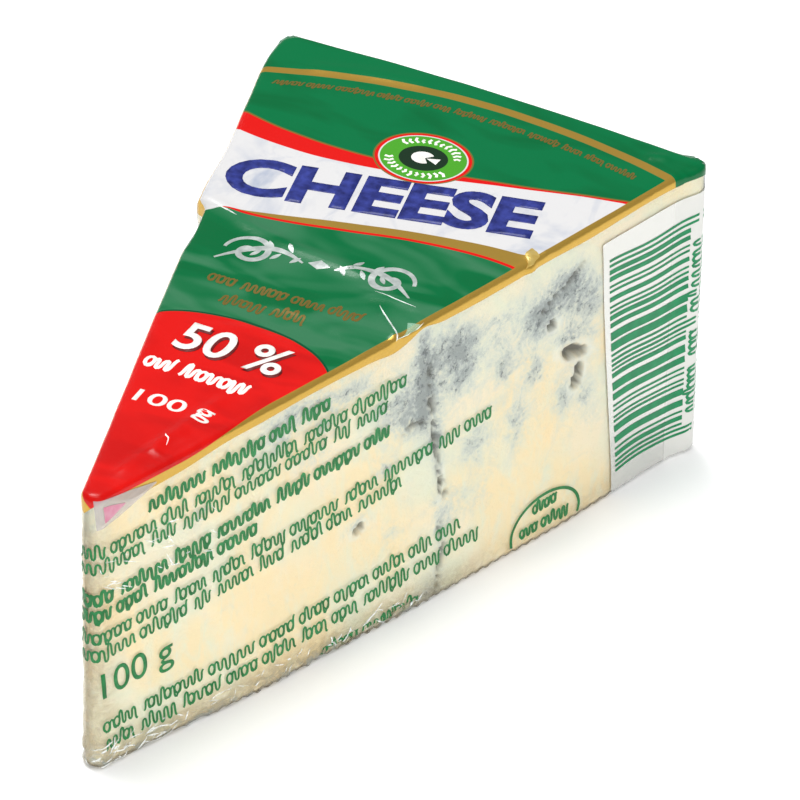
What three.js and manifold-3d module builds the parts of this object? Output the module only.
// A portion of blue-veined cheese, cut as a wedge from a flat wheel and wrapped in one printed clear film.
// Millimetres, +Z up. The wedge lies on its side as sold: the nose points to -Y and the rind end to +Y.
// The origin is the middle of the film's underside box.

import * as THREE from 'three';
import { mergeVertices } from 'three/addons/utils/BufferGeometryUtils.js';
import Module from 'manifold-3d';

// ---------------------------------------------------------------- driving dimensions

// The wrapped wedge, over the film.
const LENGTH = 89.9; // from the nose to the corners of the rind end
const RIND_WIDTH = 57; // across the rind end, corner to corner
const RIND_HEIGHT = 39.6; // height at the rind end
const NOSE_HEIGHT = 36.4; // height at the nose, where the cut sank a little
const NOSE_RADIUS = 1.5; // the blunt nose, seen from above
const NOSE_OFFSET = 0.5; // how far the nose lies to the right of the middle
const LEFT_BOW = 0.2; // how far the left side swells at its middle
const RIGHT_BOW = 0.7; // how far the right side swells at its middle
const RIND_BOW = 0.9; // how far the rind end swells at its middle
const EDGE_ROUND = 0.8; // rounding of the top and bottom edges
const SHARP_CORNER = 0.5; // how much rounder than that the rind corners are
const SOFT_CORNER = 6.5; // how much further the left corner's rounding reaches along the left side
const SOFT_RIND = 1.6; // and along the rind end

// The film.
const FILM_WALL = 0.25; // one layer of film, thicker than the real one
const FILM_CLEARANCE = 0.3; // between the film and the cheese
const LAP_WIDTH = 10; // how far the film's two free edges overlap under the wedge
const LAP_GAP = 0.15; // between the two layers of the overlap
const LAP_CENTRE = 2; // the middle of the overlap, to the right of the wedge's axis
const SLIT_WIDTH = 0.6; // the open edge at each side of the overlap
const LAP_FROM_SIDES = 1; // the overlap is loose where the wedge is wider than it by this at each side
const LAP_FROM_RIND = 12; // and it ends this far from the rind end

// The mould cavities that the knife opened in the right cut face.
const CAVITIES = [
  { along: 73.5, height: 22, length: 4.2, width: 1.5, depth: 1.3, tilt: -16 },
  { along: 75, height: 18.5, length: 3, width: 2.1, depth: 1.6, tilt: 10 },
  { along: 71, height: 27, length: 1.3, width: 1, depth: 0.9, tilt: 0 },
  { along: 40, height: 13, length: 2, width: 0.9, depth: 0.6, tilt: -12 },
];

// Smoothness of the curves.
const CURVE_STEPS = 10;
const EDGE_STEPS = 4;
const WALL_STEPS = 3;
const CAVITY_SIDES = 16;

// Looks.
const CHEESE_LOOK = { color: 0xefe3c2, roughness: 0.62, metalness: 0 };
const FILM_LOOK = { color: 0x00824f, roughness: 0.22, metalness: 0 };

// ---------------------------------------------------------------- solids

const wasm = await Module();
wasm.setup();

function solidOf(geometry) {
  const bare = geometry.clone();
  bare.deleteAttribute('normal');
  bare.deleteAttribute('uv');
  const merged = mergeVertices(bare, 1e-5);
  const mesh = new wasm.Mesh({
    numProp: 3,
    vertProperties: new Float32Array(merged.attributes.position.array),
    triVerts: new Uint32Array(merged.index.array),
  });
  return new wasm.Manifold(mesh);
}

function geometryOf(solid) {
  const mesh = solid.getMesh();
  const geometry = new THREE.BufferGeometry();
  geometry.setAttribute('position', new THREE.BufferAttribute(new Float32Array(mesh.vertProperties), 3));
  geometry.setIndex(new THREE.BufferAttribute(new Uint32Array(mesh.triVerts), 1));
  geometry.computeVertexNormals();
  return geometry;
}

function boxSolid(low, high) {
  const geometry = new THREE.BoxGeometry(high.x - low.x, high.y - low.y, high.z - low.z);
  geometry.translate((low.x + high.x) / 2, (low.y + high.y) / 2, (low.z + high.z) / 2);
  return solidOf(geometry);
}

// ---------------------------------------------------------------- the wedge's outline, seen from above

// The nose touches y = 0 and the rind corners lie at y = LENGTH.
const RIGHT = 1;
const LEFT = -1;
const noseCentre = new THREE.Vector2(NOSE_OFFSET, NOSE_RADIUS);

// The straight line from where it touches the nose circle to a rind corner.
function sideOf(hand) {
  const corner = new THREE.Vector2(hand * RIND_WIDTH / 2, LENGTH);
  const reach = corner.clone().sub(noseCentre);
  const angle = Math.atan2(hand * reach.x, reach.y) - Math.asin(NOSE_RADIUS / reach.length());
  return {
    corner,
    angle,
    length: Math.sqrt(reach.lengthSq() - NOSE_RADIUS ** 2),
    along: new THREE.Vector2(hand * Math.sin(angle), Math.cos(angle)),
    out: new THREE.Vector2(hand * Math.cos(angle), -Math.sin(angle)),
  };
}

const rightSide = sideOf(RIGHT);
const leftSide = sideOf(LEFT);

// How far a bowed side's end turns away from its straight line.
function swingOf(side, bow) {
  return Math.atan(4 * bow / side.length);
}

// Where a bowed side leaves the nose circle.
function noseEnd(side, bow) {
  const swing = swingOf(side, bow);
  return noseCentre.clone()
    .addScaledVector(side.out, NOSE_RADIUS * Math.cos(swing))
    .addScaledVector(side.along, -NOSE_RADIUS * Math.sin(swing));
}

// A point on a side, so far from its rind corner.
function shortOf(side, distance) {
  return side.corner.clone().addScaledVector(side.along, -distance);
}

// The control point that makes a quadratic curve swell by the given bow at its middle.
function bowed(from, to, out, bow) {
  return from.clone().add(to).multiplyScalar(0.5).addScaledVector(out, 2 * bow);
}

function outline() {
  const sharp = 2 * EDGE_ROUND + SHARP_CORNER;
  const rightNose = noseEnd(rightSide, RIGHT_BOW);
  const leftNose = noseEnd(leftSide, LEFT_BOW);
  const rightEnd = shortOf(rightSide, sharp);
  const leftEnd = shortOf(leftSide, sharp + SOFT_CORNER);
  const rindRight = rightSide.corner.clone().add(new THREE.Vector2(-sharp, 0));
  const rindLeft = leftSide.corner.clone().add(new THREE.Vector2(sharp + SOFT_RIND, 0));
  const rightSwell = bowed(rightNose, rightEnd, rightSide.out, RIGHT_BOW);
  const rindSwell = bowed(rindRight, rindLeft, new THREE.Vector2(0, 1), RIND_BOW);
  const leftSwell = bowed(leftEnd, leftNose, leftSide.out, LEFT_BOW);
  const noseFrom = Math.PI + leftSide.angle + swingOf(leftSide, LEFT_BOW);
  const noseTo = 2 * Math.PI - rightSide.angle - swingOf(rightSide, RIGHT_BOW);
  const shape = new THREE.Shape();
  shape.moveTo(rightNose.x, rightNose.y);
  shape.quadraticCurveTo(rightSwell.x, rightSwell.y, rightEnd.x, rightEnd.y);
  shape.quadraticCurveTo(rightSide.corner.x, rightSide.corner.y, rindRight.x, rindRight.y);
  shape.quadraticCurveTo(rindSwell.x, rindSwell.y, rindLeft.x, rindLeft.y);
  shape.quadraticCurveTo(leftSide.corner.x, leftSide.corner.y, leftEnd.x, leftEnd.y);
  shape.quadraticCurveTo(leftSwell.x, leftSwell.y, leftNose.x, leftNose.y);
  shape.absarc(noseCentre.x, noseCentre.y, NOSE_RADIUS, noseFrom, noseTo, false);
  return shape;
}

// How high the sloping top lies over a point, as a share of the height at the rind end.
function topShare(y) {
  const drop = (RIND_HEIGHT - NOSE_HEIGHT) / RIND_HEIGHT;
  return 1 - drop * (1 - y / LENGTH);
}

// A wedge inside the film's outside by the given inset, from one height to another, with rounded edges.
function wedgeSolid(inset, bottom, top) {
  const round = EDGE_ROUND - inset;
  const geometry = new THREE.ExtrudeGeometry(outline(), {
    depth: top - bottom - 2 * round,
    steps: WALL_STEPS,
    curveSegments: CURVE_STEPS,
    bevelEnabled: true,
    bevelThickness: round,
    bevelSize: round,
    bevelOffset: -round - inset,
    bevelSegments: EDGE_STEPS,
  });
  geometry.translate(0, 0, bottom + round);
  const place = geometry.attributes.position;
  for (let i = 0; i < place.count; i += 1) {
    place.setZ(i, place.getZ(i) * topShare(place.getY(i)));
  }
  return solidOf(geometry);
}

// ---------------------------------------------------------------- the cheese

const cheeseInset = FILM_WALL + FILM_CLEARANCE;
const undersideWall = 2 * FILM_WALL + LAP_GAP;

// An oval hollow centred on the right cut face, so many millimetres along it from the nose.
function cavitySolid({ along, height, length, width, depth, tilt }) {
  const share = along / rightSide.length;
  const swell = 4 * RIGHT_BOW * share * (1 - share);
  const geometry = new THREE.SphereGeometry(1, CAVITY_SIDES, CAVITY_SIDES / 2);
  geometry.scale(length / 2, depth, width / 2);
  geometry.rotateY(THREE.MathUtils.degToRad(tilt));
  geometry.rotateZ(Math.PI / 2 - rightSide.angle);
  const foot = noseCentre.clone()
    .addScaledVector(rightSide.out, NOSE_RADIUS + swell - cheeseInset)
    .addScaledVector(rightSide.along, along);
  geometry.translate(foot.x, foot.y, height);
  return solidOf(geometry);
}

function makeCheese() {
  const floor = undersideWall + FILM_CLEARANCE;
  let cheese = wedgeSolid(cheeseInset, floor, RIND_HEIGHT - cheeseInset);
  for (const cavity of CAVITIES) {
    cheese = cheese.subtract(cavitySolid(cavity));
  }
  return geometryOf(cheese);
}

// ---------------------------------------------------------------- the film

// The overlap under the wedge: its upper layer is open at the left, its lower layer at the right.
function lapSolids() {
  const reach = Math.abs(LAP_CENTRE - NOSE_OFFSET) + LAP_WIDTH / 2 + LAP_FROM_SIDES;
  const start = noseCentre.y + reach / Math.tan(Math.min(leftSide.angle, rightSide.angle));
  const end = LENGTH - LAP_FROM_RIND;
  const left = LAP_CENTRE - LAP_WIDTH / 2;
  const right = LAP_CENTRE + LAP_WIDTH / 2;
  const above = undersideWall + FILM_CLEARANCE / 2;
  const gap = boxSolid(
    new THREE.Vector3(left, start, FILM_WALL),
    new THREE.Vector3(right, end, FILM_WALL + LAP_GAP),
  );
  const upperSlit = boxSolid(
    new THREE.Vector3(left, start, FILM_WALL),
    new THREE.Vector3(left + SLIT_WIDTH, end, above),
  );
  const lowerSlit = boxSolid(
    new THREE.Vector3(right - SLIT_WIDTH, start, -FILM_WALL),
    new THREE.Vector3(right, end, FILM_WALL + LAP_GAP),
  );
  return gap.add(upperSlit).add(lowerSlit);
}

function makeFilm() {
  const outside = wedgeSolid(0, 0, RIND_HEIGHT);
  const inside = wedgeSolid(FILM_WALL, undersideWall, RIND_HEIGHT - FILM_WALL);
  return geometryOf(outside.subtract(inside).subtract(lapSolids()));
}

// ---------------------------------------------------------------- the part

function named(name, geometry, look) {
  const mesh = new THREE.Mesh(geometry, new THREE.MeshStandardMaterial(look));
  mesh.name = name;
  return mesh;
}

const cheese = named('cheese_wedge', makeCheese(), CHEESE_LOOK);
const film = named('film_wrap', makeFilm(), FILM_LOOK);

const group = new THREE.Group();
group.add(cheese, film);

// The origin goes to the middle of the film's underside box.
film.geometry.computeBoundingBox();
const middle = film.geometry.boundingBox.getCenter(new THREE.Vector3());
group.position.set(-middle.x, -middle.y, 0);

export default group;
